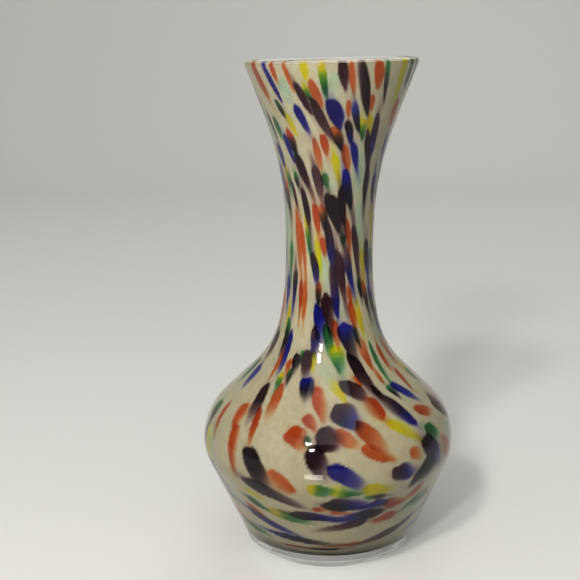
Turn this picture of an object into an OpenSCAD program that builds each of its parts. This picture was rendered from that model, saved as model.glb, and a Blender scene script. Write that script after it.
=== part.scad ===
// Hand blown cased glass vase: a milky opal core, coloured glass frit pressed into its skin,
// a clear casing gathered over both, and a thick clear foot.
// The origin is the middle of the plane that the foot stands on, and +Z is up.

/* [Outline] */
// Height from the standing face to the top of the lip
height = 240; // [238:1:250]
// Outside radius at the widest part of the belly
belly_r = 61.2; // [60:0.2:62]
// Height of the widest part of the belly
belly_z = 57.5; // [56:0.5:58.5]
// Outside radius of the neck at its narrowest
neck_r = 20.9; // [20.4:0.1:22]
// Height where the neck starts to widen downwards, into the shoulder
neck_low_z = 146; // [146:1:149]
// Height where the neck starts to widen upwards, into the flare
neck_high_z = 160; // [157:1:162]
// Lean of the flare from upright, in degrees
flare_lean = 21; // [19:0.5:23]
// Lean of the lower belly from upright, in degrees
lower_lean = 24; // [23:0.5:25]

/* [Bends] */
// Radius of the bend from neck to flare
flare_bend = 150; // [135:5:160]
// Radius of the long bend down the lower neck
neck_bend = 140; // [135:5:145]
// Angle that the long neck bend turns through, in degrees
neck_turn = 12; // [10:0.5:12]
// Radius of the hollow bend into the shoulder
shoulder_bend = 45; // [43:1:45]
// Radius of the belly above its widest part
upper_bend = 30; // [28.5:0.5:30.5]
// Radius of the belly below its widest part
lower_bend = 20; // [19:0.5:21.5]
// Radius of the heel under the lower belly
heel_bend = 20; // [19:0.5:20.5]

/* [Glass] */
// Thickness of the clear casing on the wall
casing_t = 1.8; // [1.5:0.1:2.1]
// Thickness of the opal core on the wall
opal_t = 1.7; // [1.5:0.1:1.9]
// Thickness of a frit chip
frit_t = 0.7; // [0.5:0.05:0.8]
// Height of clear glass above the end of the opal core
lip_clear = 1.4; // [1.4:0.1:2]
// Height of the underside of the opal core
opal_floor_z = 12; // [11.5:0.5:12.5]
// Thickness of the opal core's floor
opal_floor_t = 2.5; // [2.3:0.1:2.8]

/* [Foot] */
// Height of the clear foot
foot_h = 9; // [8.5:0.5:9.5]
// How far the top edge of the foot stands proud of the casing
foot_bead = 0.5; // [0.3:0.1:0.6]
// Radius of the hollow under the foot
hollow_r = 19; // [16:0.5:19.5]
// Depth of the hollow under the foot
hollow_d = 2.5; // [1.5:0.25:3.5]
// Radius of the ground pontil spot in the hollow
pontil_r = 8; // [6:0.5:10]

/* [Frit] */
// Share of a chip's length and width that is solid, inside its thinned edge
chip_core = 0.85; // [0.7:0.01:0.88]

/* [Hidden] */
$fn = 96;

// The frit: [azimuth from the front, height, length, width, lean of the lower end] for each chip.
// Azimuth and lean are in degrees, towards the right hand as one faces the front.
AUBERGINE = [
    [ // flare
        [-22, 224, 15, 3, 23], [-8, 214.5, 19, 4, 23], [8, 234, 14, 3.6, 14], [24.5, 228, 23, 4.5, 18],
        [45, 207, 19, 3.5, 6], [41, 200, 17, 3, 16], [17, 209, 10, 3.2, 14], [79, 233, 14, 5, 6],
        [-67, 211, 14, 2, 10], [-82, 223, 14, 4, 14], [86, 200, 14, 3.5, 10]
    ],
    [ // neck
        [-33.5, 190.5, 16, 3.8, 19], [-14.5, 185.5, 15, 3.6, 13], [5.5, 171.5, 18, 5, 17],
        [16, 174, 17, 3, 9], [48, 183, 17, 3, 3], [-50, 179, 12, 1.8, 12], [-32, 173, 17, 3, 10],
        [-19.5, 145, 14, 3, 9], [0.5, 157, 19, 3.3, 8], [7.5, 134, 22, 3.6, 6], [15.5, 142, 24, 3.4, 9],
        [26, 146, 18, 3.6, 12], [38.5, 153, 22, 3, 8], [61, 148, 16, 4, 6], [-52, 135, 16, 2.6, 0],
        [80, 183, 14, 3.5, 8], [-84, 152, 15, 3.5, 6]
    ],
    [ // shoulder
        [-1.5, 124.5, 17, 4.2, 10], [-16, 111.5, 12, 3.4, 4], [27.5, 97.5, 17, 5.4, 18],
        [34.5, 89, 8, 3, 18],
        [-31.8, 101, 9, 3.2, 4], [-21.5, 102, 11, 4.2, 5], [16.5, 91.5, 11, 6, 38], [80, 117, 14, 4, 8],
        [-76, 106, 13, 4, 6]
    ],
    [ // belly
        [43.5, 81, 18, 4.8, 31], [-46.5, 84.5, 14, 4.6, 8], [-80, 57, 13, 6, 0], [54, 63, 12, 7.6, 40],
        [9, 82, 11, 7.6, 45], [-0.5, 74, 9.5, 7.6, 45], [-5, 65.5, 11.5, 6.6, 28], [34.5, 57, 10, 5.6, 85],
        [47.5, 54.5, 14, 5.6, -52], [-34, 60, 15, 7, 38], [-29, 48.5, 20, 4.8, 66], [80, 74, 13, 7, 40]
    ],
    [ // heel
        [-8, 36.6, 18, 3.6, 82], [7.5, 43.6, 15, 6, 85], [17, 36.8, 16, 4.8, -82],
        [9.5, 31.4, 15, 3.4, -75],
        [33, 22, 16, 3.2, -68], [47, 26, 9, 2.5, -65], [-3, 16.6, 12, 2, 90], [-66, 39, 12, 5, 60],
        [72, 33, 13, 4.5, -66]
    ]
];
COBALT = [
    [
        [-47, 231.5, 20, 2.7, 17], [3.5, 217, 14, 5.5, 22], [21.5, 215.5, 14, 3, 17],
        [26.5, 197.5, 13, 3, 17],
        [-25.5, 214.5, 14, 3.3, 20], [-47.5, 201, 13, 2.5, 13], [72, 199, 14, 3.5, 10],
        [-66, 197, 11, 3.5, 12]
    ],
    [
        [21.5, 182, 18, 3.8, 13], [66, 181, 14, 3.5, 8], [-77, 186, 14, 3.5, 8], [68, 128, 13, 3.5, 8],
        [-68, 133, 13, 3, 4]
    ],
    [
        [-12.5, 120.5, 14, 4, 10], [21, 112, 15, 6, 14], [-16, 92, 10.5, 5.6, 8],
        [-46.5, 105.5, 18, 2.6, 4],
        [56, 87, 13, 4, 39], [-72, 91, 12, 4, 8]
    ],
    [[6.5, 59.5, 12, 6, 62], [-66, 48, 12, 5, 45]],
    [[-35.5, 30, 19, 3.2, 66], [-19.5, 21.8, 24, 2.8, 82], [22.5, 42.6, 10, 3.4, -78], [66, 22, 12, 3, -70]]
];
RED = [
    [
        [-42, 235, 9, 2.5, 10], [-30.5, 233, 13, 2, 14], [-11.5, 226, 12, 3.6, 20], [6.5, 206, 11, 4, 24],
        [16.5, 197, 12, 3.4, 14], [14.5, 232, 15, 2.4, 12], [33.5, 234, 14, 4, 14],
        [33.5, 221.5, 7, 2.4, 8],
        [14, 219, 8, 2, 10], [-41, 203.5, 12, 3.4, 10], [-13.5, 198.5, 14, 2.8, 11], [-6, 203, 10, 3, 14],
        [66, 216, 13, 4, 12], [-60, 231, 18, 4, 15], [89, 232, 16, 4, 12]
    ],
    [
        [-17.5, 168, 15, 2.6, 9], [-8.5, 169, 12, 3, 10], [-8, 155.5, 8, 2.6, 10], [-45.5, 157, 26, 3, 5],
        [-37, 154, 22, 1.8, 6], [-33.5, 129, 18, 2.2, 2], [-40, 131, 16, 1.8, 2], [-14, 133, 11, 2.4, 4],
        [25.5, 161, 14, 2.4, 9], [55, 130, 14, 2.8, 12], [28, 132.5, 7, 2, 8], [-66, 178, 14, 3.5, 8],
        [83.5, 160, 15, 3, 8], [-80, 125, 13, 3.4, 6]
    ],
    [
        [8, 115.5, 12, 2.8, 10], [31, 122, 14, 3, 10], [39, 103.5, 13, 3.4, 10], [43.5, 94, 7, 2, 8],
        [60.5, 101, 13, 2.4, 2], [66, 90, 11, 2.4, 2], [22.5, 94, 6, 3, 25], [29, 83.5, 11, 6, 24],
        [-6, 87, 15, 5, 16], [-38, 99, 7, 2.4, 8], [-51, 99, 14, 2.2, 4], [-35, 86, 15, 4.6, 6],
        [76, 101, 12, 3, 6]
    ],
    [
        [-40, 77, 13, 2.8, 10], [-15.5, 74.5, 9, 6, 30], [-10, 80, 7, 3.6, 40], [8, 74.5, 9, 4.6, 50],
        [20, 75, 13, 6, 38], [22.5, 67, 12, 4.2, 60], [42.5, 64, 6, 4, 60], [-20.5, 54.5, 12, 6, 62],
        [-48.5, 65, 17, 4, 14], [-53.5, 77.5, 10, 4.6, 10], [-67, 73, 14, 2.5, 10], [60, 78, 9, 4, 65],
        [45.5, 44.5, 9, 3.6, -55], [70, 58, 12, 6, 45]
    ],
    [
        [-4.5, 41.4, 5, 2.2, 85], [5, 39.2, 7, 1.6, 85], [33, 41, 8.5, 4, 85], [31, 33.5, 9, 3.6, -80],
        [-41.5, 35, 8, 2.6, 60], [9, 19, 13, 2.2, -85], [-19, 16.8, 12, 1.8, 88], [-62, 27, 12, 4, 66],
        [80, 42, 11, 5, 60]
    ]
];
YELLOW = [
    [
        [-18, 236, 8, 3.2, 8], [-18, 226.5, 9, 2.2, 20], [-5.5, 232, 16, 3, 8], [29.5, 210, 10, 3, 15],
        [36, 212, 9, 2.8, 12], [57, 231, 18, 3.6, 8], [-37.5, 212, 11, 2.8, 19], [83, 214, 13, 4, 12],
        [-86, 205, 13, 4, 12]
    ],
    [
        [6.5, 193, 12, 2.8, 13], [-59, 187, 11, 2.4, 8], [-30, 160, 16, 2.2, 9], [-14.5, 151, 14, 2.4, 8],
        [51, 146, 14, 2.4, 8], [-59, 121, 9, 2.4, 0], [71, 165, 15, 3, 8], [86, 138, 13, 3, 6],
        [-86, 176, 14, 3, 8]
    ],
    [
        [8, 104, 12, 5, 12], [8, 90.5, 10, 3.4, 24], [-15, 103, 7, 2.2, 4], [-40, 93, 8, 2.8, 5],
        [40, 121, 14, 3.4, 10], [84, 90, 12, 4, 10]
    ],
    [
        [40, 74, 16, 4, 52], [-4, 52.5, 9, 4.2, 75], [7, 51.2, 10, 4.6, 80], [21, 51.2, 10, 4.4, 80],
        [-72, 62, 12, 5, 30]
    ],
    [[-37.5, 45.2, 8, 2.6, 65], [-22, 35.8, 14, 4.6, 76], [58, 40, 12, 5, -62]]
];
GREEN = [
    [[41.5, 231, 18, 2.4, 12], [-45.5, 219, 8, 2.6, 22], [67, 234, 13, 3.5, 10], [-57, 210, 10, 3, 14]],
    [
        [-5.5, 186.5, 6, 3.2, 15], [-43.5, 186, 7, 2.4, 12], [18.5, 158.5, 5, 2.2, 8],
        [-62, 148, 16, 2.6, 0],
        [45, 135, 9, 2.4, 8], [75, 146, 13, 3, 6]
    ],
    [
        [-1, 112.5, 13, 3.4, 9], [-55, 112, 14, 3, 4], [-27.6, 104, 6, 1.4, 3], [-33.5, 95.5, 7, 2.4, 5],
        [33.5, 112.5, 8, 2.2, 10], [50, 98, 22, 2.4, 3], [47, 88, 7, 2.6, 25], [-84, 92, 12, 4, 6]
    ],
    [[57.5, 70, 8, 4.6, 40], [-9.5, 73, 5, 2.4, 20], [22, 47.2, 9, 2.2, 85], [-78, 72, 11, 5, 12]],
    [[-38, 39.6, 10, 2.8, 62], [46.5, 38, 9, 2.8, -55], [-50, 22, 11, 3, 74]]
];
AQUA = [
    [[2, 229.5, 9, 3, 8], [-35, 226, 11, 3.6, 14], [-74, 210, 14, 4, 14], [75, 225, 12, 3.6, 10]],
    [
        [37, 187, 18, 4.6, 6], [45.5, 163, 20, 4.6, 4], [3.5, 184.5, 5, 2.2, 12], [-5, 143, 14, 3.6, 4],
        [18.5, 126, 8, 2.8, 10], [-73, 160, 15, 4, 5]
    ],
    [[-1, 96.5, 11, 3.6, 12], [70, 112, 12, 4, 6]],
    [[-66, 61, 10, 4, 15], [78, 62, 10, 5, 30]],
    [[-52, 36, 9, 4, 62], [60, 30, 10, 3.6, -66]]
];

ZONES = ["flare", "neck", "shoulder", "belly", "heel"];
// Each kind of frit: its name, its colour, its chips, and the chips that lend it their places at the back
FRITS = [
    ["aubergine", "#1c1418", AUBERGINE, COBALT],
    ["cobalt", "#1b1478", COBALT, RED],
    ["red", "#ad3a1c", RED, AUBERGINE],
    ["yellow", "#cfc22e", YELLOW, GREEN],
    ["green", "#2f7a45", GREEN, AQUA],
    ["aqua", "#a9cdb8", AQUA, YELLOW]
];
FRIT_NODES = [for (frit = FRITS) for (zone = ZONES) str("frit_", frit[0], "_", zone)];

wall_t = casing_t + opal_t;
lip_r = wall_t / 2;
opal_top_z = height - lip_clear;
cavity_floor_z = opal_floor_z + opal_floor_t;

// Centres of the bends, as radius and height
flare_c = [neck_r + flare_bend, neck_high_z];
neck_c = [neck_r + neck_bend, neck_low_z];
shoulder_c = neck_c - (neck_bend - shoulder_bend) * [cos(neck_turn), sin(neck_turn)];
upper_c = [belly_r - upper_bend, belly_z];
lower_c = [belly_r - lower_bend, belly_z];

// Lean of the straight stretch that touches both the shoulder bend and the upper belly
shoulder_run = shoulder_c - upper_c;
shoulder_lean = atan2(shoulder_run[1], shoulder_run[0])
    - acos((upper_bend + shoulder_bend) / norm(shoulder_run));

// Points of an arc of radius r about c. first is 1 where the arc goes on from the one before it.
function arc(c, r, from, to, steps, first = 0) =
    [for (i = [first:steps]) let (a = from + (to - from) * i / steps) c + r * [cos(a), sin(a)]];

// Centre of a heel of radius r that touches the lower belly, inset by t, and the height floor_z
function heel_c(t, r, floor_z) =
    let (touch = lower_c + (lower_bend - t) * [cos(lower_lean), -sin(lower_lean)])
    let (run = (touch[1] - floor_z - r * (1 - sin(lower_lean))) / cos(lower_lean))
    touch - run * [sin(lower_lean), cos(lower_lean)] - r * [cos(lower_lean), -sin(lower_lean)];

// The outline inset by t, as [radius, height] points from the heel up to the end of the flare bend
function side(t, heel_r, floor_z) = concat(
    arc(heel_c(t, heel_r, floor_z), heel_r, -90, -lower_lean, 6),
    arc(lower_c, lower_bend - t, -lower_lean, 0, 3),
    arc(upper_c, upper_bend - t, 0, shoulder_lean, 5, 1),
    arc(shoulder_c, shoulder_bend + t, 180 + shoulder_lean, 180 + neck_turn, 5),
    arc(neck_c, neck_bend + t, 180 + neck_turn, 180, 4, 1),
    arc(flare_c, flare_bend + t, 180, 180 - flare_lean, 5)
);
// The point of the flare's straight stretch at height z, inset by t
function flare_point(t, z) =
    let (start = flare_c - (flare_bend + t) * [cos(flare_lean), -sin(flare_lean)])
    [start[0] + (z - start[1]) * tan(flare_lean), z];
function reversed(list) = [for (i = [len(list) - 1:-1:0]) list[i]];

outer_side = side(0, heel_bend, 0);
opal_side = side(casing_t, heel_bend - casing_t, opal_floor_z);
cavity_side = side(wall_t, heel_bend - wall_t, cavity_floor_z);
lip_c = flare_point(lip_r, height - lip_r);
// The cavity's wall up to the end of the opal core. Both glasses share its corners, so no film is left
// between them where three corners stand almost in line.
cavity_wall = concat(cavity_side, [flare_point(wall_t, opal_top_z)]);

// Radius and lean of the opal core's skin at height z
SKIN = [for (p = concat(opal_side, [flare_point(casing_t, height)])) [p[1], p[0]]];
function skin_r(z) = lookup(z, SKIN);
lean_reach = 1.5;
function skin_lean(z) = atan2(skin_r(z + lean_reach) - skin_r(z - lean_reach), 2 * lean_reach);

// The whole wall in section, from the axis under the floor round the lip to the axis in the cavity
module wall_section() {
    polygon(concat(
        [[0, 0]],
        outer_side,
        arc(lip_c, lip_r, -flare_lean, 180 - flare_lean, 12),
        reversed(cavity_wall),
        [[0, cavity_floor_z]]
    ));
}

// The opal core in section, with its end cut level below the clear lip
module opal_section() {
    polygon(concat(
        [[0, opal_floor_z]],
        opal_side,
        [flare_point(casing_t, opal_top_z)],
        reversed(cavity_wall),
        [[0, cavity_floor_z]]
    ));
}

// Everything inside the opal core's skin less the thickness of the frit, in section
module under_frit_section() {
    t = casing_t + frit_t;
    floor_z = opal_floor_z + frit_t;
    polygon(concat(
        [[0, floor_z]],
        side(t, heel_bend - t, floor_z),
        [flare_point(t, height + 1), [0, height + 1]]
    ));
}

// Everything inside the opal core's skin, in section
module skin_section() {
    polygon(concat(
        [[0, opal_floor_z]],
        opal_side,
        [flare_point(casing_t, opal_top_z), [0, opal_top_z]]
    ));
}

// The foot in section: its heel, its proud top edge and the hollow with the pontil spot
module foot_section() {
    heel_top_z = foot_h - 3 * foot_bead;
    hollow_edge = [hollow_r - 2, hollow_d / 4];
    heel = [for (p = outer_side) if (p[1] < heel_top_z) p];
    edge_r = lookup(foot_h, [for (p = outer_side) [p[1], p[0]]]);
    polygon(concat(
        [[0, hollow_d], [pontil_r, hollow_d], hollow_edge, [hollow_r, 0]],
        heel,
        arc([edge_r, foot_h - foot_bead], foot_bead, -30, 90, 4),
        [[0, foot_h]]
    ));
}

// A chip seen from outside: blunt at its upper end and drawn out at its lower end
module chip_outline(l, w) {
    blunt_w = 0.1 * w;
    widest_from = -0.22 * l;
    widest_to = 0.18 * l;
    polygon([
        [-l / 2, blunt_w], [-l / 2, -blunt_w], [widest_from, -w / 2], [widest_to, -w / 2],
        [l / 2, 0], [widest_to, w / 2], [widest_from, w / 2]
    ]);
}

// A prism through the skin under each chip of a list, turned round the axis by turn
module chip_prisms(chips, turn = 0) {
    // Deep and tall enough to pass the curved skin under the chip's ends and sides
    inward = frit_t + 1.5;
    outward = 2;
    for (chip = chips)
        rotate(chip[0] + turn - 90)
            translate([skin_r(chip[1]), 0, chip[1]])
                rotate([0, 90 + skin_lean(chip[1]), 0])
                    rotate(chip[4])
                        translate([0, 0, -inward])
                            linear_extrude(inward + outward)
                                chip_outline(chip[2] * chip_core, chip[3] * chip_core);
}

// The pockets for one kind of frit in one zone, front and back, open outwards
module pockets(frit, zone) {
    difference() {
        union() {
            chip_prisms(frit[2][zone]);
            chip_prisms(frit[3][zone], 180);
        }
        rotate_extrude() under_frit_section();
    }
}

module clear_casing() {
    color("#e6efe9", 0.3)
        rotate_extrude()
            difference() {
                wall_section();
                opal_section();
                square([belly_r, foot_h]);
            }
}

module clear_foot() {
    color("#dfeae4", 0.35)
        rotate_extrude()
            foot_section();
}

module opal_core() {
    color("#d8d3c4")
        difference() {
            rotate_extrude() opal_section();
            for (frit = FRITS)
                for (zone = [0:len(ZONES) - 1])
                    pockets(frit, zone);
        }
}

module frit(kind, zone) {
    color(kind[1])
        intersection() {
            rotate_extrude() skin_section();
            pockets(kind, zone);
        }
}

clear_casing();
clear_foot();
opal_core();
for (kind = FRITS)
    for (zone = [0:len(ZONES) - 1])
        frit(kind, zone);
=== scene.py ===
"""Looks of a hand blown cased glass vase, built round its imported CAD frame.

Metres, +Z up, the front faces -Y. An azimuth is counted from the front, positive towards +X.
The opal body and every frit chip read one colour field, so that a chip fades into its
neighbours and into the opal as melted glass does.
"""

import math

import bmesh
import bpy
import numpy as np
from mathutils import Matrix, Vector


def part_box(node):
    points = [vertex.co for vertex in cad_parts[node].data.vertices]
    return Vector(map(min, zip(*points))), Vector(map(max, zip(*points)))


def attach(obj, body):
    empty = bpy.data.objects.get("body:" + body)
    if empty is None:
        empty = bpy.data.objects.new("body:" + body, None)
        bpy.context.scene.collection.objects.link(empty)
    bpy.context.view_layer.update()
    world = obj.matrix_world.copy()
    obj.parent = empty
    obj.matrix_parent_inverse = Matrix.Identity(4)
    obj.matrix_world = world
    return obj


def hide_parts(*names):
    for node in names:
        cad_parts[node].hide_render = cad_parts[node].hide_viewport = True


MM = 0.001
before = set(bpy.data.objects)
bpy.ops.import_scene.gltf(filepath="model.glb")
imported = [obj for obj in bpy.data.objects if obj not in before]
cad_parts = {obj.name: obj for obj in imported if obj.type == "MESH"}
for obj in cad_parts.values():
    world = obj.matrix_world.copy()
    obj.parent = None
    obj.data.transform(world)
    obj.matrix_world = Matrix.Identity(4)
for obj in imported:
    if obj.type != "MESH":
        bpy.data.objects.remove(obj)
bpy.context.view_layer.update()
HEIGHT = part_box("clear_casing")[1][2]
draw = np.random.default_rng(20)

# ---------------------------------------------------------------- camera and light

CAMERA_PLACE = (0.0, -2.165 * HEIGHT, 1.042 * HEIGHT)
CAMERA_PITCH = math.radians(12.95)
SENSOR = 36.0
LENS = 68.586
WINDOW_SIZE = (0.11, 0.12)
WINDOW_COLOUR = (1.0, 0.98, 0.95)
ASIDE = 0.069  # how far right of the frame's middle the vase stands, as a share of the width


def add_camera():
    data = bpy.data.cameras.new("camera")
    data.sensor_width = SENSOR
    data.lens = LENS
    data.shift_x = -ASIDE
    data.clip_start = 0.01
    camera = bpy.data.objects.new("camera", data)
    camera.location = CAMERA_PLACE
    camera.rotation_euler = (math.pi / 2 - CAMERA_PITCH, 0, 0)
    bpy.context.collection.objects.link(camera)
    bpy.context.scene.camera = camera


def add_softbox(name, azimuth, elevation, distance, size, power, colour=(1, 1, 1)):
    """A softbox that faces the middle of the vase, seen from it at that azimuth and elevation."""
    data = bpy.data.lights.new(name, "AREA")
    data.shape = "RECTANGLE"
    data.size, data.size_y = size
    data.energy = power
    data.color = colour
    light = bpy.data.objects.new(name, data)
    a, e = math.radians(azimuth), math.radians(elevation)
    away = Vector((math.sin(a) * math.cos(e), -math.cos(a) * math.cos(e), math.sin(e)))
    light.location = Vector((0, 0, HEIGHT / 2)) + away * distance
    light.rotation_euler = away.to_track_quat("Z", "Y").to_euler()
    bpy.context.collection.objects.link(light)


def add_table_glint():
    """A low lamp in front, where a table would reflect the window: the low highlight on the belly."""
    belly = Vector((-0.026, -0.254, 0.242)) * HEIGHT
    place = Vector((-0.16, -0.83, 0.08)) * HEIGHT
    data = bpy.data.lights.new("table_glint", "AREA")
    data.shape = "RECTANGLE"
    data.size, data.size_y = 0.05, 0.024
    data.energy = 0.004
    data.spread = math.radians(50)
    light = bpy.data.objects.new("table_glint", data)
    light.location = place
    light.rotation_euler = (place - belly).to_track_quat("Z", "Y").to_euler()
    light.visible_camera = False
    bpy.context.collection.objects.link(light)


def add_world(strength):
    world = bpy.data.worlds.new("studio")
    world.use_nodes = True
    background = world.node_tree.nodes["Background"]
    background.inputs["Color"].default_value = (0.98, 0.97, 0.95, 1)
    background.inputs["Strength"].default_value = strength
    bpy.context.scene.world = world


# ---------------------------------------------------------------- outlines read from the frame

def merged(node):
    mesh = bmesh.new()
    mesh.from_mesh(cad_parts[node].data)
    bmesh.ops.remove_doubles(mesh, verts=mesh.verts, dist=1e-6)
    return mesh


def ring_key(co):
    return (round(math.hypot(co.x, co.y), 5), round(co.z, 5))


def ring_chain(node, start):
    """The outline of a turned node, as (radius, height) corners in order from its end chosen by start."""
    mesh = merged(node)
    beside = {}
    for edge in mesh.edges:
        a, b = (ring_key(v.co) for v in edge.verts)
        if a != b and a[0] > 0 and b[0] > 0:
            beside.setdefault(a, set()).add(b)
            beside.setdefault(b, set()).add(a)
    mesh.free()
    at = start([k for k in beside if len(beside[k]) == 1])
    chain, seen = [at], {at}
    while True:
        onward = [k for k in beside[at] if k not in seen]
        if not onward:
            return np.array(chain)
        at = onward[0]
        chain.append(at)
        seen.add(at)


def smooth_curve(points, spacing):
    """A curve through the points (centripetal Catmull-Rom), cut into steps of about spacing."""
    p = np.asarray(points, float)
    p = np.vstack([2 * p[0] - p[1], p, 2 * p[-1] - p[-2]])
    out = []
    for a, b, c, d in zip(p[:-3], p[1:-2], p[2:-1], p[3:]):
        k = [0.0]
        for q, r in ((a, b), (b, c), (c, d)):
            k.append(k[-1] + max(np.linalg.norm(r - q), 1e-7) ** 0.5)
        steps = max(1, int(np.linalg.norm(c - b) / spacing))
        t = np.linspace(k[1], k[2], steps, endpoint=False)[:, None]
        ab = (k[1] - t) / (k[1] - k[0]) * a + (t - k[0]) / (k[1] - k[0]) * b
        bc = (k[2] - t) / (k[2] - k[1]) * b + (t - k[1]) / (k[2] - k[1]) * c
        cd = (k[3] - t) / (k[3] - k[2]) * c + (t - k[2]) / (k[3] - k[2]) * d
        abc = (k[2] - t) / (k[2] - k[0]) * ab + (t - k[0]) / (k[2] - k[0]) * bc
        bcd = (k[3] - t) / (k[3] - k[1]) * bc + (t - k[1]) / (k[3] - k[1]) * cd
        out.append((k[2] - t) / (k[2] - k[1]) * abc + (t - k[1]) / (k[2] - k[1]) * bcd)
    return np.vstack(out + [p[-2:-1]])


def gap_to(points, line):
    """How far each point is from a polyline."""
    a, b = line[:-1], line[1:]
    run = b - a
    t = np.einsum("pij,ij->pi", points[:, None] - a, run) / np.maximum((run ** 2).sum(1), 1e-18)
    near = a + np.clip(t, 0, 1)[..., None] * run
    return np.linalg.norm(points[:, None] - near, axis=2).min(1)


def outward(line):
    """The outward normal at each point of a (radius, height) line that runs upwards."""
    run = np.gradient(line, axis=0)
    normal = np.stack([run[:, 1], -run[:, 0]], axis=1)
    return normal / np.linalg.norm(normal, axis=1)[:, None]


casing_chain = ring_chain("clear_casing", lambda ends: max(ends))
opal_low, opal_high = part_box("opal_core")
LEVEL = 0.02 * MM
top = int(np.argmax(casing_chain[:, 1]))
# The casing meets the end of the opal on a level ring just below the lip
on_end = [i for i in range(top, len(casing_chain)) if abs(casing_chain[i, 1] - opal_high[2]) < LEVEL]
outside_corners = casing_chain[:on_end[0] + 1]
skin_corners = casing_chain[on_end[-1]:][::-1]


def cavity_corners():
    """The corners of the opal core's inner surface, from its floor's edge up to its end."""
    mesh = merged("opal_core")
    rings = np.array(sorted({ring_key(v.co) for v in mesh.verts}))
    mesh.free()
    past_pockets = 1.3 * MM
    above_floor = opal_low[2] + 1 * MM
    deep = rings[(gap_to(rings, skin_corners) > past_pockets) & (rings[:, 1] > above_floor)]
    return deep[np.argsort(deep[:, 1])]


skin = smooth_curve(skin_corners, 0.8 * MM)
cavity = smooth_curve(cavity_corners(), 1.6 * MM)
outside = smooth_curve(outside_corners, 1.2 * MM)
skin_out = outward(skin)
skin_run = np.concatenate([[0], np.cumsum(np.linalg.norm(np.diff(skin, axis=0), axis=1))])


# ---------------------------------------------------------------- the hand made sway

SWAY_Z = np.array([0, 57, 150, 240]) / 240 * HEIGHT
SWAY_X = np.array([0, -1.0, -0.3, 0.8]) * MM
RIM_TILT = math.radians(1.3)
RIM_FROM = 0.83 * HEIGHT


def sway(co):
    """Moves points as the whole vase leans and its rim tilts, all pieces alike."""
    co = np.array(co, float)
    z = co[:, 2].copy()
    share = np.clip((z - RIM_FROM) / (HEIGHT - RIM_FROM), 0, 1) ** 2
    co[:, 2] += math.tan(RIM_TILT) * co[:, 0] * share
    co[:, 0] += np.interp(z, SWAY_Z, SWAY_X)
    return co


# ---------------------------------------------------------------- colours

def srgb(r, g, b):
    c = np.array([r, g, b]) / 255
    return np.where(c <= 0.04045, c / 12.92, ((c + 0.055) / 1.055) ** 2.4)


# The opal is painted darker from its top down to its bottom: painted shade
OPAL_HIGH = srgb(176, 168, 140)
OPAL_LOW_SHADED = srgb(138, 130, 105)
OPAL_FLOOR_PAINTED_LIGHT = srgb(150, 141, 114)  # painted light: the core is painted lighter round its floor, standing in for light that reaches its underside through the glass
LIT_FLOOR_FROM, LIT_FLOOR_TO = 32 * MM, 14 * MM
INKS = {
    "aubergine": [srgb(20, 10, 14), srgb(58, 30, 36)],
    "cobalt": [srgb(12, 10, 84), srgb(20, 22, 118)],
    "red": [srgb(146, 58, 24), srgb(166, 86, 40)],
    "yellow": [srgb(184, 170, 22), srgb(178, 156, 34)],
    "green": [srgb(22, 74, 38), srgb(56, 106, 58)],
    "aqua": [srgb(118, 158, 140), srgb(142, 174, 140)],
}
TAILS = {  # what a two-coloured chip runs into, and how often
    "aubergine": ("cobalt", 0.3),
    "cobalt": ("aubergine", 0.25),
    "red": ("aubergine", 0.15),
    "green": ("aubergine", 0.3),
    "yellow": ("green", 0.2),
    "aqua": ("aqua", 0.0),
}


def opal_colour(z):
    share = np.clip(z / HEIGHT, 0, 1)[:, None]
    # Painted shade: the wall darkens towards the bottom
    wall = OPAL_LOW_SHADED * (1 - share) + OPAL_HIGH * share
    # Painted light: towards the floor the colour turns lighter
    floor_light = np.clip((LIT_FLOOR_FROM - z) / (LIT_FLOOR_FROM - LIT_FLOOR_TO), 0, 1)[:, None]
    return wall * (1 - floor_light) + OPAL_FLOOR_PAINTED_LIGHT * floor_light


def ink(colour):
    """How strongly a colour of glass takes light out of the opal's, for each of red, green and blue."""
    return -np.log(np.clip(colour / OPAL_HIGH, 0.01, 1))


# ---------------------------------------------------------------- chips read from the frame

CHIP_CORE = 0.85  # the share of a chip's length and width that its CAD solid holds


def loose_parts(mesh):
    mesh.verts.ensure_lookup_table()
    seen = set()
    for vert in mesh.verts:
        if vert in seen:
            continue
        part, queue = [], [vert]
        seen.add(vert)
        while queue:
            v = queue.pop()
            part.append(v)
            for edge in v.link_edges:
                other = edge.other_vert(v)
                if other not in seen:
                    seen.add(other)
                    queue.append(other)
        yield part


def read_chip(part, kind, node):
    """A chip's place, size and lean, from the solid that the frame holds for it."""
    co = np.array([v.co for v in part])
    line = np.stack([np.hypot(co[:, 0], co[:, 1]), co[:, 2]], axis=1)
    on_skin = gap_to(line, skin_corners) < 0.15 * MM
    face = co[on_skin]
    az = np.arctan2(face[:, 0], -face[:, 1])
    middle_az = math.atan2(np.sin(az).mean(), np.cos(az).mean())
    turned = (az - middle_az + math.pi) % (2 * math.pi) - math.pi
    radius = np.hypot(face[:, 0], face[:, 1])
    along = np.interp(face[:, 2], skin[:, 1], skin_run)
    across = turned * radius
    flat = np.stack([across, along], axis=1)
    centre = (flat.max(0) + flat.min(0)) / 2
    spread = np.cov((flat - flat.mean(0)).T)
    axis = np.linalg.eigh(spread)[1][:, 1]
    reach = (flat - centre) @ axis
    if axis[1] > 0:
        axis = -axis
        reach = -reach
    side = np.array([-axis[1], axis[0]])
    width = (flat - centre) @ side
    middle = centre + axis * (reach.max() + reach.min()) / 2 + side * (width.max() + width.min()) / 2
    run = middle[1]
    r = np.interp(run, skin_run, skin[:, 0])
    return {
        "kind": kind,
        "node": node,
        "azimuth": middle_az + middle[0] / r,
        "run": run,
        "axis": axis,
        "side": side,
        "length": (reach.max() - reach.min()) / CHIP_CORE,
        "width": (width.max() - width.min()) / CHIP_CORE,
    }


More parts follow.
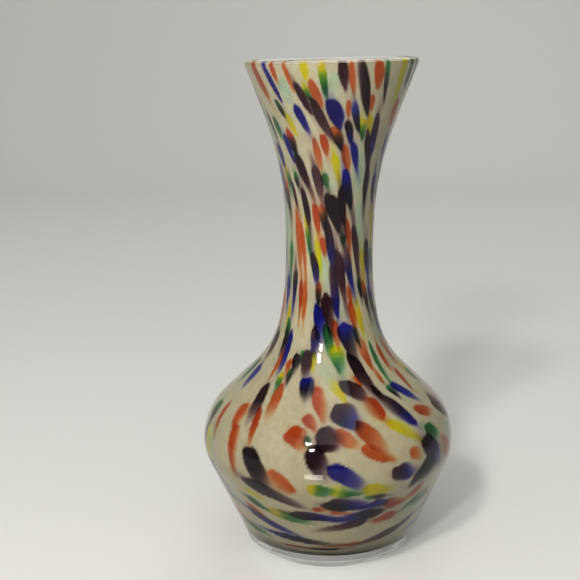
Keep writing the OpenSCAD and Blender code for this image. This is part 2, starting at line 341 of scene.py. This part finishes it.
def read_chips():
    chips = []
    for node in sorted(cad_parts):
        if node.startswith("frit_"):
            mesh = merged(node)
            for part in loose_parts(mesh):
                chips.append(read_chip(part, node.split("_")[1], node))
            mesh.free()
    return chips


def add_character(chip):
    """What differs from chip to chip: its hue, strength, soft side, ragged outline and second colour."""
    hue = draw.uniform(0, 1)
    first, second = INKS[chip["kind"]]
    chip["ink"] = ink(first * (1 - hue) + second * hue)
    round_zone = chip["node"].endswith(("belly", "heel", "shoulder"))
    drawn_out = chip["node"].endswith(("neck", "heel"))
    tail, often = TAILS[chip["kind"]]
    two_coloured = draw.uniform() < often and not (round_zone and chip["kind"] == "red")
    chip["tail"] = ink(INKS[tail][0]) if two_coloured else chip["ink"]
    chip["strength"] = draw.uniform(0.9, 1.3)
    chip["smear"] = draw.uniform(0.4, 0.95) if drawn_out else draw.uniform(0.15, 0.5)
    chip["other_end"] = 0.7 if drawn_out else 0.3
    chip["smear_end"] = 1 if draw.uniform() < 0.65 else -1
    # Most chips are crisp on their upper left and fade to the lower right
    chip["soft_side"] = draw.uniform(-0.3, 1.3) + (0 if draw.uniform() < 0.85 else math.pi)
    chip["softness"] = draw.uniform(0.3, 0.7) * (1.5 if round_zone else 1)
    chip["fade"] = draw.uniform(0.5, 1.8) if round_zone else draw.uniform(0.1, 0.7)
    chip["spread"] = 0.75 if round_zone else 0.2
    chip["grown"] = 1.12 if chip["node"].endswith(("belly", "heel")) else 1.0
    chip["ragged"] = draw.uniform(0, 2 * math.pi, len(RAGGED))
    chip["halo"] = 1.9 if chip["kind"] == "aqua" else 1.0


SHARP = 0.15  # how wide a crisp edge is
EDGE = 1.2  # where a chip's colour ends, in half lengths and half widths
TAPER = 0.22  # how much a chip narrows towards one end and widens towards the other
RAGGED = ((0.05, 2), (0.045, 3), (0.03, 5))  # height and count of the lobes of a chip's outline
SMEAR_REACH = 2.4  # in half lengths from the middle
SMEAR_FULL = 0.7  # where a smear starts to thin, in half lengths
SMEAR_WIDTH = 0.62  # in half widths


def chip_reach(chip, a, b):
    """How far out a point of a chip is, 1 at its outline, and its bearing.

    a runs along the chip and b across it, in half lengths and half widths.
    """
    bearing = np.arctan2(b, a)
    ragged = 1
    for (height, lobes), start in zip(RAGGED, chip["ragged"]):
        ragged = ragged + height * np.sin(lobes * bearing + start)
    return np.hypot(a, b / (1 - TAPER * np.clip(a, -1, 1))) * ragged / chip["halo"] ** 0.5, bearing


def chip_density(chip, a, b):
    reach, bearing = chip_reach(chip, a, b)
    toward = np.maximum(0, np.cos(bearing - chip["soft_side"]))
    reach = reach / (chip["grown"] * (1 + chip["spread"] * toward))
    soft = (SHARP + chip["softness"] * toward ** 2) * chip["halo"]
    t = np.clip((EDGE - reach) / soft, 0, 1)
    body = t * t * (3 - 2 * t) * np.exp(-chip["fade"] * reach * toward)
    # The smears that the turning glass drew out of the ends, one more than the other
    out = np.abs(a)
    thinning = np.clip((SMEAR_REACH - out) / (SMEAR_REACH - SMEAR_FULL), 0, 1) ** 1.4
    fade = np.clip(out / 0.5, 0, 1) * thinning
    pull = np.where(a * chip["smear_end"] > 0, 1, chip["other_end"])
    smear = chip["smear"] * pull * fade * np.exp(-(b / SMEAR_WIDTH) ** 2)
    return np.maximum(body, smear) * chip["strength"] / chip["halo"] ** 1.5


def colour_field(azimuth, run, z, chips, share=1.0):
    """The colour of the skin at each point: the opal's, less what every chip there takes out."""
    taken = np.zeros((len(run), 3))
    for chip in chips:
        r = np.interp(chip["run"], skin_run, skin[:, 0])
        turned = (azimuth - chip["azimuth"] + math.pi) % (2 * math.pi) - math.pi
        up = run - chip["run"]
        far = SMEAR_REACH / 2 * chip["length"] * chip["halo"] ** 0.5
        near = np.nonzero((np.abs(up) < far) & (np.abs(turned) * r < far))[0]
        if not len(near):
            continue
        local_r = np.interp(run[near], skin_run, skin[:, 0])
        across = turned[near] * local_r
        a = (across * chip["axis"][0] + up[near] * chip["axis"][1]) / (chip["length"] / 2)
        b = (across * chip["side"][0] + up[near] * chip["side"][1]) / (chip["width"] / 2)
        density = chip_density(chip, a, b)[:, None]
        into_tail = np.clip(0.5 + 0.8 * a, 0, 1)[:, None]
        taken[near] += density * (chip["ink"] * (1 - into_tail) + chip["tail"] * into_tail)
    return opal_colour(z) * np.exp(-taken * share)


# ---------------------------------------------------------------- mesh helpers

SHARP_CORNER = math.radians(38)


def new_piece(name, verts, faces, colours=None, face_slots=None, materials=()):
    mesh = bpy.data.meshes.new(name)
    mesh.from_pydata(sway(verts).tolist(), [], faces)
    if colours is not None:
        tint = mesh.color_attributes.new("tint", "FLOAT_COLOR", "POINT")
        rgba = np.ones((len(verts), 4), np.float32)
        rgba[:, :3] = colours
        tint.data.foreach_set("color", rgba.ravel())
    for material in materials:
        mesh.materials.append(material)
    if face_slots is not None:
        mesh.polygons.foreach_set("material_index", np.asarray(face_slots, np.int32))
    mesh.polygons.foreach_set("use_smooth", np.ones(len(mesh.polygons), bool))
    mesh.set_sharp_from_angle(angle=SHARP_CORNER)
    mesh.update()
    piece = bpy.data.objects.new(name, mesh)
    bpy.context.collection.objects.link(piece)
    return piece


HOLE = 1 * MM  # the innermost ring of a level disc, which a fan of triangles closes


def level_disc(radius, z, rings):
    """A level line from the innermost ring out to a radius, which it stops short of."""
    return np.stack([np.linspace(HOLE, radius, rings, endpoint=False), np.full(rings, z)], axis=1)


def turned_shell(line, around):
    """A (radius, height) line turned round the axis and closed at both ends.

    Gives its vertices and faces, and each vertex's row and azimuth.
    """
    a = np.linspace(0, 2 * math.pi, around, endpoint=False)
    x = np.outer(line[:, 0], np.sin(a))
    y = -np.outer(line[:, 0], np.cos(a))
    z = np.repeat(line[:, 1:], around, axis=1)
    verts = np.stack([x, y, z], axis=2).reshape(-1, 3)
    row = np.repeat(np.arange(len(line)), around)
    azimuth = np.tile(a, len(line))
    faces = []
    for i in range(len(line) - 1):
        for j in range(around):
            k = (j + 1) % around
            faces.append((i * around + j, i * around + k, (i + 1) * around + k, (i + 1) * around + j))
    for at_end in (False, True):
        i = len(line) - 1 if at_end else 0
        pole = len(verts)
        verts = np.vstack([verts, [0, 0, line[i, 1]]])
        row = np.append(row, i)
        azimuth = np.append(azimuth, 0)
        for j in range(around):
            k = (j + 1) % around
            corner = (i * around + j, i * around + k)
            faces.append((corner[0], corner[1], pole) if at_end else (corner[1], corner[0], pole))
    return verts, faces, row, azimuth


# ---------------------------------------------------------------- materials

def new_material(name):
    material = bpy.data.materials.new(name)
    material.use_nodes = True
    tree = material.node_tree
    return material, tree, tree.nodes["Principled BSDF"]


def add_node(tree, kind, **values):
    node = tree.nodes.new(kind)
    for key, value in values.items():
        if key in node.inputs:
            node.inputs[key].default_value = value
        else:
            setattr(node, key, value)
    return node


def melted_glass(name, gloss, depth_share):
    """Opal or frit: its colour from the field, clouded at two scales, and a slight depth."""
    material, tree, shader = new_material(name)
    link = tree.links.new
    tint = add_node(tree, "ShaderNodeAttribute", attribute_name="tint")
    place = add_node(tree, "ShaderNodeTexCoord")
    cloud = add_node(tree, "ShaderNodeTexNoise", Scale=95.0, Detail=4.0, Roughness=0.6)
    streak_place = add_node(tree, "ShaderNodeMapping", vector_type="POINT")
    streak_place.inputs["Scale"].default_value = (1, 1, 0.16)
    streak = add_node(tree, "ShaderNodeTexNoise", Scale=620.0, Detail=3.0, Roughness=0.55)
    link(place.outputs["Object"], cloud.inputs["Vector"])
    link(place.outputs["Object"], streak_place.inputs["Vector"])
    link(streak_place.outputs["Vector"], streak.inputs["Vector"])
    both = add_node(tree, "ShaderNodeMath", operation="MULTIPLY")
    link(cloud.outputs["Fac"], both.inputs[0])
    link(streak.outputs["Fac"], both.inputs[1])
    depth = add_node(tree, "ShaderNodeMapRange")
    for key, value in (("From Min", 0.12), ("From Max", 0.42), ("To Min", 0.86), ("To Max", 1.08)):
        depth.inputs[key].default_value = value
    link(both.outputs["Value"], depth.inputs["Value"])
    clouded = add_node(tree, "ShaderNodeMix", data_type="RGBA", blend_type="MULTIPLY")
    clouded.inputs["Factor"].default_value = 1.0
    link(tint.outputs["Color"], clouded.inputs[6])
    link(depth.outputs["Result"], clouded.inputs[7])
    link(clouded.outputs[2], shader.inputs["Base Color"])
    shader.inputs["Roughness"].default_value = 0.12 if gloss else 0.6
    shader.inputs["Specular IOR Level"].default_value = 0.5 if gloss else 0.0
    shader.inputs["Subsurface Weight"].default_value = depth_share
    shader.inputs["Subsurface Radius"].default_value = (0.0016, 0.0014, 0.0012)
    shader.inputs["Subsurface Scale"].default_value = 1.0
    if gloss:
        bump = add_node(tree, "ShaderNodeBump", Strength=0.12, Distance=0.0004)
        link(cloud.outputs["Fac"], bump.inputs["Height"])
        link(bump.outputs["Normal"], shader.inputs["Normal"])
    return material


def clear_glass(name, waviness, clarity):
    """Clear glass with slow waves and faint handling smears. clarity is the share that passes light; the
    rest is a pale diffuse share, painted light that stands in for light focused through the glass.
    """
    material, tree, shader = new_material(name)
    link = tree.links.new
    shader.inputs["Base Color"].default_value = (0.965, 0.985, 0.972, 1)
    shader.inputs["Transmission Weight"].default_value = clarity
    shader.inputs["IOR"].default_value = 1.5
    shader.inputs["Specular Tint"].default_value = (0.42, 0.42, 0.42, 1)
    place = add_node(tree, "ShaderNodeTexCoord")
    wave = add_node(tree, "ShaderNodeTexNoise", Scale=38.0, Detail=2.0)
    link(place.outputs["Object"], wave.inputs["Vector"])
    bump = add_node(tree, "ShaderNodeBump", Strength=waviness, Distance=0.001)
    link(wave.outputs["Fac"], bump.inputs["Height"])
    link(bump.outputs["Normal"], shader.inputs["Normal"])
    smear = add_node(tree, "ShaderNodeTexNoise", Scale=70.0, Detail=5.0)
    link(place.outputs["Object"], smear.inputs["Vector"])
    handled = add_node(tree, "ShaderNodeMapRange")
    for key, value in (("From Min", 0.4), ("From Max", 0.75), ("To Min", 0.015), ("To Max", 0.06)):
        handled.inputs[key].default_value = value
    link(smear.outputs["Fac"], handled.inputs["Value"])
    link(handled.outputs["Result"], shader.inputs["Roughness"])
    return let_light_through(material, tree, shader)


def fused_seam(name):
    """Where two gathers of the same glass melted together: light passes as if nothing were there."""
    material, tree, shader = new_material(name)
    shader.inputs["Base Color"].default_value = (1, 1, 1, 1)
    shader.inputs["Transmission Weight"].default_value = 1.0
    shader.inputs["IOR"].default_value = 1.0
    shader.inputs["Roughness"].default_value = 0.0
    return let_light_through(material, tree, shader)


def let_light_through(material, tree, shader):
    """Lamps light what is behind the glass."""
    output = tree.nodes["Material Output"]
    ray = add_node(tree, "ShaderNodeLightPath")
    clear = add_node(tree, "ShaderNodeBsdfTransparent")
    clear.inputs["Color"].default_value = (0.96, 0.98, 0.97, 1)
    mix = add_node(tree, "ShaderNodeMixShader")
    tree.links.new(ray.outputs["Is Shadow Ray"], mix.inputs["Fac"])
    tree.links.new(shader.outputs["BSDF"], mix.inputs[1])
    tree.links.new(clear.outputs["BSDF"], mix.inputs[2])
    tree.links.new(mix.outputs["Shader"], output.inputs["Surface"])
    return material


# ---------------------------------------------------------------- pieces

def build_opal(chips, under_casing, open_air):
    """The milky core: its skin in the frit's colours, its level end and the cavity's surface."""
    around = 420
    floor = level_disc(*skin[0], 16)
    cavity_floor = level_disc(*cavity[0], 13)[::-1]
    line = np.vstack([floor, skin, cavity[::-1], cavity_floor])
    outer_rows = len(floor) + len(skin)
    verts, faces, row, azimuth = turned_shell(line, around)
    z = verts[:, 2]
    run = np.interp(z, skin[:, 1], skin_run)
    colours = opal_colour(z)
    on_skin = (row >= len(floor)) & (row < outer_rows)
    colours[on_skin] = colour_field(azimuth[on_skin], run[on_skin], z[on_skin], chips)
    inside = row >= outer_rows
    shine_through = 0.28
    colours[inside] = colour_field(azimuth[inside], run[inside], z[inside], chips, shine_through)
    slots = [0 if row[f[0]] < outer_rows - 1 else 1 for f in faces]
    piece = new_piece("opal_body", verts, faces, colours, slots, (under_casing, open_air))
    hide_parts("opal_core")
    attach(piece, "root")


def build_casing(glass, seam, painted_light_glass):
    """The clear gather: its outer surface and lip, and an inner surface sunk just inside the opal.

    Its underside is the fused seam with the foot, and its low end has the foot's pale diffuse share,
    painted light.
    """
    around = 240
    sunk, ring_sunk, ring_in = 0.15 * MM, 0.1 * MM, 0.05 * MM
    inner = (skin - skin_out * sunk)[::-1]
    under = level_disc(*inner[-1], 9)[::-1]
    base = level_disc(outside[0, 0], casing_chain[0, 1], 12)
    line = np.vstack([base, outside, inner, under])
    # The level ring under the lip is sunk into the opal's end, so that the two never share a plane
    lip_end = len(base) + len(outside) - 1
    line[lip_end] += (ring_in, -ring_sunk)
    line[lip_end + 1, 1] -= ring_sunk
    verts, faces, row, _ = turned_shell(line, around)
    # Below the opal's end the casing takes the foot's glass, with its painted light
    painted_light_rows = len(base) + int((outside[:, 1] < opal_low[2]).sum())
    clear_slot, seam_slot, painted_light_slot = 0, 1, 2
    slots = []
    for face in faces:
        lowest, highest = row[face[0]], row[face[2]]
        if lowest < len(base) and highest <= len(base):
            slots.append(seam_slot)
        else:
            slots.append(painted_light_slot if highest <= painted_light_rows else clear_slot)
    piece = new_piece("casing_gather", verts, faces, None, slots, (glass, seam, painted_light_glass))
    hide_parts("clear_casing")
    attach(piece, "root")


def build_foot(glass, seam):
    """The clear pad: standing ring, hollow, pontil spot and proud edge, fused under the casing."""
    around = 240
    chain = ring_chain("clear_foot", lambda ends: min(ends))
    line = smooth_curve(chain, 0.6 * MM)
    cap = level_disc(*line[-1], 13)[::-1]
    whole = np.vstack([line, cap])
    whole[:, 1] = np.maximum(whole[:, 1], 0)
    verts, faces, row, _ = turned_shell(whole, around)
    slots = [1 if row[f[0]] >= len(line) - 1 else 0 for f in faces]
    piece = new_piece("foot_pad", verts, faces, None, slots, (glass, seam))
    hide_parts("clear_foot")
    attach(piece, "root")


def chip_mesh(chip, chips):
    """One melted chip: a shallow lens on the skin, its rim sunk into the opal."""
    rings, around = 9, 30
    edge = EDGE * 1.04  # just past where its colour ends
    bearing = np.linspace(0, 2 * math.pi, around, endpoint=False)
    proud, sunk, deep = 0.09 * MM, 0.05 * MM, 0.5 * MM
    rho = np.linspace(0, edge, rings + 1)[1:]
    a = np.concatenate([[0], np.outer(rho, np.cos(bearing)).ravel()])
    b = np.concatenate([[0], np.outer(rho, np.sin(bearing)).ravel()]) * (1 - TAPER * np.clip(a, -1, 1))
    out = np.concatenate([[0], np.repeat(rho, around)]) / edge
    lift = proud - (proud + sunk) * out ** 2
    along, aside = a * chip["length"] / 2, b * chip["width"] / 2
    across = along * chip["axis"][0] + aside * chip["side"][0]
    run = chip["run"] + along * chip["axis"][1] + aside * chip["side"][1]
    run = np.clip(run, 0, skin_run[-1])
    r = np.interp(run, skin_run, skin[:, 0])
    z = np.interp(run, skin_run, skin[:, 1])
    azimuth = chip["azimuth"] + across / r
    normal = np.stack([np.interp(run, skin_run, part) for part in skin_out.T], axis=1)
    colours = colour_field(azimuth, run, z, chips)

    def placed(height):
        rr, zz = r + normal[:, 0] * height, z + normal[:, 1] * height
        return np.stack([rr * np.sin(azimuth), -rr * np.cos(azimuth), zz], axis=1)

    face_side, under_side = placed(lift), placed(lift - (deep * (1 - out ** 2)))
    rim = 1 + (rings - 1) * around
    verts = np.vstack([face_side, under_side[:rim]])
    colours = np.vstack([colours, colours[:rim]])
    faces = []
    for j in range(around):
        k = (j + 1) % around
        faces.append((0, 1 + j, 1 + k))
        faces.append((len(face_side), len(face_side) + 1 + k, len(face_side) + 1 + j))
        for i in range(rings - 1):
            p, q = 1 + i * around, 1 + (i + 1) * around
            faces.append((p + j, q + j, q + k, p + k))
            low_p = len(face_side) + p
            low_q = len(face_side) + q if i < rings - 2 else q
            faces.append((low_p + k, low_q + k, low_q + j, low_p + j))
    return verts, faces, colours


def build_frit(chips, material):
    """One piece for each CAD node of frit, with a lens for each of its chips."""
    for node in sorted({chip["node"] for chip in chips}):
        verts, faces, colours, count = [], [], [], 0
        for chip in (c for c in chips if c["node"] == node):
            v, f, c = chip_mesh(chip, chips)
            verts.append(v)
            colours.append(c)
            faces += [tuple(i + count for i in face) for face in f]
            count += len(v)
        tints = np.vstack(colours)
        piece = new_piece("melted_" + node, np.vstack(verts), faces, tints, None, (material,))
        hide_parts(node)
        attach(piece, "root")


def build_floor():
    """A plain pale floor that sweeps up into a backdrop behind the vase."""
    side, back, bend, rise = 3.0, 1.3, 0.6, 2.4
    low = -0.15 * MM  # just clear of the foot, so that the two surfaces never share a plane
    turn = np.linspace(0, math.pi / 2, 25)
    sweep = [(back + bend * math.sin(t), bend * (1 - math.cos(t))) for t in turn]
    profile = [(-side, 0.0)] + sweep + [(back + bend, rise)]
    verts = [(x, y, low + z) for y, z in profile for x in (-side, side)]
    faces = [(2 * i, 2 * i + 1, 2 * i + 3, 2 * i + 2) for i in range(len(profile) - 1)]
    mesh = bpy.data.meshes.new("floor")
    mesh.from_pydata(verts, [], faces)
    mesh.polygons.foreach_set("use_smooth", np.ones(len(faces), bool))
    floor = bpy.data.objects.new("floor", mesh)
    material, _, shader = new_material("floor")
    shader.inputs["Base Color"].default_value = (0.74, 0.73, 0.70, 1)
    shader.inputs["Roughness"].default_value = 0.8
    shader.inputs["Specular IOR Level"].default_value = 0.2
    mesh.materials.append(material)
    bpy.context.collection.objects.link(floor)


chips = read_chips()
for chip in chips:
    add_character(chip)
opal_under_casing = melted_glass("opal_under_casing", False, 0.12)
opal_in_the_open = melted_glass("opal_in_the_open", True, 0.3)
build_opal(chips, opal_under_casing, opal_in_the_open)
build_frit(chips, melted_glass("frit_under_casing", False, 0.0))
glass = clear_glass("clear_glass", 0.25, 1.0)
seam = fused_seam("fused_seam")
# The foot's glass has a pale diffuse share: painted light standing in for light focused through the clear
# foot
painted_light_glass = clear_glass("foot_glass", 0.35, 0.72)
build_casing(glass, seam, painted_light_glass)
build_foot(painted_light_glass, seam)
build_floor()

bpy.context.scene.view_settings.view_transform = "Standard"
add_camera()
add_world(0.23)
add_softbox("window_upper", -21, 38, 1.3, WINDOW_SIZE, 7, WINDOW_COLOUR)
add_softbox("window_lower", -16, 28, 1.3, WINDOW_SIZE, 6, WINDOW_COLOUR)
add_softbox("front_left", -50, 30, 2.2, (1.4, 1.4), 4)
add_softbox("right_fill", 75, 15, 2.6, (1.4, 1.4), 1.5)
add_softbox("overhead", 0, 85, 1.6, (1.0, 1.0), 0.8)
add_softbox("backdrop_light", 0, 60, 2.2, (1.6, 1.6), 12)
add_softbox("back_fill", 165, 45, 2.0, (1.4, 1.4), 7)
add_table_glint()
